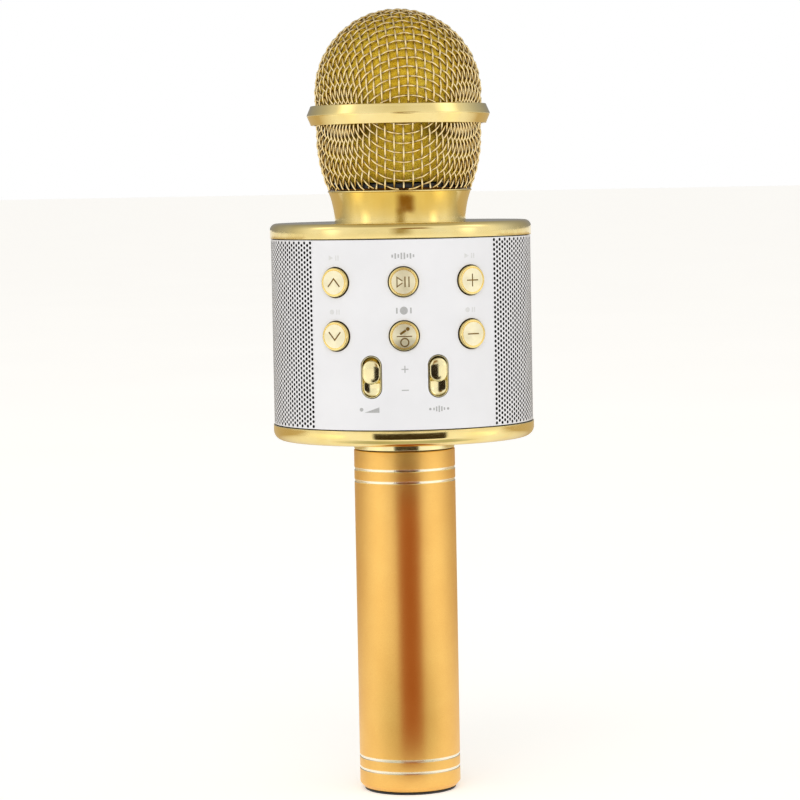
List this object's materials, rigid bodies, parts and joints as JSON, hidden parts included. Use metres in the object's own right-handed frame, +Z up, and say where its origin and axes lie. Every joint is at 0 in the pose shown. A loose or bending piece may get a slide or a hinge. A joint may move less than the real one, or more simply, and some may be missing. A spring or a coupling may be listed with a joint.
{
  "type": "karaoke microphone",
  "caption": "Handheld cordless microphone: woven ball grille over foam, gold collar, round twin-speaker drum with a curved key panel, straight tube handle.",
  "frame": {"origin": "middle of the handle's flat base, on the axis of the handle", "axes": "+Z up the handle towards the ball grille, -Y out of the front key panel, +X to the right seen from the front"},
  "size_m": [0.085, 0.087, 0.255],
  "materials": {
    "woven_gold_wire": "bright gold-plated woven steel wire, worn duller on the crossings",
    "gold_chrome": "mirror-bright gold plating on moulded plastic",
    "gold_key_chrome": "pale gold plating, spun face with a polished edge",
    "gold_anodised": "satin bead-blasted aluminium, anodised orange gold, with bright diamond-cut rings",
    "mustard_foam": "open-cell polyurethane foam, mustard yellow",
    "satin_white": "pearl white satin paint on moulded plastic",
    "speaker_mesh": "white-coated perforated sheet, round holes in staggered rows",
    "black_plastic": "fine-grained black moulding",
    "grey_plastic": "plain grey moulding",
    "soft_rubber": "matt black rubber",
    "bright_steel": "nickel-plated steel",
    "circuit_board": "green solder resist on glass-fibre board",
    "paper_cone": "pressed paper cone with a rubber surround",
    "clear_lens": "frosted light pipe",
    "cell_wrap": "shrink-wrapped cell",
    "lead_insulation": "red PVC-insulated lead"
  },
  "bodies": {
    "housing": {"neck_collar": "gold_chrome", "capsule_cradle": "black_plastic", "capsule_cushion": "soft_rubber", "mic_capsule": "bright_steel", "capsule_lead": "lead_insulation", "top_cap": "gold_chrome", "bottom_cap": "gold_chrome", "front_case_screw": "bright_steel", "rear_case_screw": "bright_steel", "front_panel": "satin_white", "rear_panel": "satin_white", "left_side_grille": "speaker_mesh", "right_side_grille": "speaker_mesh", "core_frame": "grey_plastic", "left_speaker_frame": "black_plastic", "right_speaker_frame": "black_plastic", "left_speaker_magnet": "bright_steel", "right_speaker_magnet": "bright_steel", "control_board": "circuit_board", "main_board": "circuit_board", "port_board": "circuit_board", "up_switch": "black_plastic", "play_switch": "black_plastic", "plus_switch": "black_plastic", "down_switch": "black_plastic", "record_switch": "black_plastic", "minus_switch": "black_plastic", "left_slider_tray": "gold_chrome", "left_slider_pot": "black_plastic", "right_slider_tray": "gold_chrome", "right_slider_pot": "black_plastic", "power_switch": "black_plastic", "status_lens": "clear_lens", "usb_socket": "bright_steel", "charging_socket": "bright_steel", "card_slot": "bright_steel", "audio_jack": "black_plastic", "handle_tube": "gold_anodised", "handle_collar": "gold_chrome", "base_cap": "black_plastic", "battery_carrier": "black_plastic", "battery_cell": "cell_wrap", "battery_lead": "lead_insulation"},
    "grille_seal": {"grille_seal": "soft_rubber"},
    "thread_ring": {"grille_thread_ring": "black_plastic"},
    "grille_head": {"upper_grille": "woven_gold_wire", "lower_grille": "woven_gold_wire", "grille_band": "gold_chrome", "foam_windscreen": "mustard_foam"},
    "up_button": {"up_button": "gold_key_chrome"},
    "play_button": {"play_button": "gold_key_chrome"},
    "plus_button": {"plus_button": "gold_key_chrome"},
    "down_button": {"down_button": "gold_key_chrome"},
    "record_button": {"record_button": "gold_key_chrome"},
    "minus_button": {"minus_button": "gold_key_chrome"},
    "power_button": {"power_button": "gold_key_chrome"},
    "left_slider": {"left_slider_knob": "gold_chrome"},
    "left_cone": {"left_speaker_cone": "paper_cone"},
    "right_slider": {"right_slider_knob": "gold_chrome"},
    "right_cone": {"right_speaker_cone": "paper_cone"}
  },
  "joints": [
    {"name": "up_press", "type": "slide", "parent": "housing", "child": "up_button", "axis": [0.5023, 0.8647, 0], "range_m": [0, 0.0005], "stiffness_N_per_m": 800, "springref_m": -0.0005},
    {"name": "play_press", "type": "slide", "parent": "housing", "child": "play_button", "axis": [0, 1, 0], "range_m": [0, 0.0005], "stiffness_N_per_m": 800, "springref_m": -0.0005},
    {"name": "plus_press", "type": "slide", "parent": "housing", "child": "plus_button", "axis": [-0.5023, 0.8647, 0], "range_m": [0, 0.0005], "stiffness_N_per_m": 800, "springref_m": -0.0005},
    {"name": "down_press", "type": "slide", "parent": "housing", "child": "down_button", "axis": [0.5023, 0.8647, 0], "range_m": [0, 0.0005], "stiffness_N_per_m": 800, "springref_m": -0.0005},
    {"name": "record_press", "type": "slide", "parent": "housing", "child": "record_button", "axis": [0, 1, 0], "range_m": [0, 0.0005], "stiffness_N_per_m": 800, "springref_m": -0.0005},
    {"name": "minus_press", "type": "slide", "parent": "housing", "child": "minus_button", "axis": [-0.5023, 0.8647, 0], "range_m": [0, 0.0005], "stiffness_N_per_m": 800, "springref_m": -0.0005},
    {"name": "power_press", "type": "slide", "parent": "housing", "child": "power_button", "axis": [0, -1, 0], "range_m": [0, 0.0005], "stiffness_N_per_m": 800, "springref_m": -0.0005},
    {"name": "left_slider_move", "type": "slide", "parent": "housing", "child": "left_slider", "axis": [0, 0, 1], "range_m": [-0.00385, 0.00085]},
    {"name": "right_slider_move", "type": "slide", "parent": "housing", "child": "right_slider", "axis": [0, 0, 1], "range_m": [-0.00435, 0.00035]},
    {"name": "left_cone_stroke", "type": "slide", "parent": "housing", "child": "left_cone", "axis": [-1, 0, 0], "range_m": [-0.0008, 0.0008], "stiffness_N_per_m": 400},
    {"name": "right_cone_stroke", "type": "slide", "parent": "housing", "child": "right_cone", "axis": [1, 0, 0], "range_m": [-0.0008, 0.0008], "stiffness_N_per_m": 400},
    {"name": "grille_lift_off", "type": "slide", "parent": "housing", "child": "grille_seal", "axis": [0, 0, 1], "range_m": [0, 0.05]},
    {"name": "grille_climb", "type": "slide", "parent": "grille_seal", "child": "thread_ring", "axis": [0, 0, 1], "range_m": [0, 0.006]},
    {"name": "grille_unscrew", "type": "hinge", "parent": "thread_ring", "child": "grille_head", "pos_m": [0, 0, 0.2], "axis": [0, 0, 1], "range_deg": [0, 1440]}
  ],
  "couplings": [
    {"joint": "grille_climb", "follows": "grille_unscrew", "m_per_rad": 0.00023873}
  ]
}
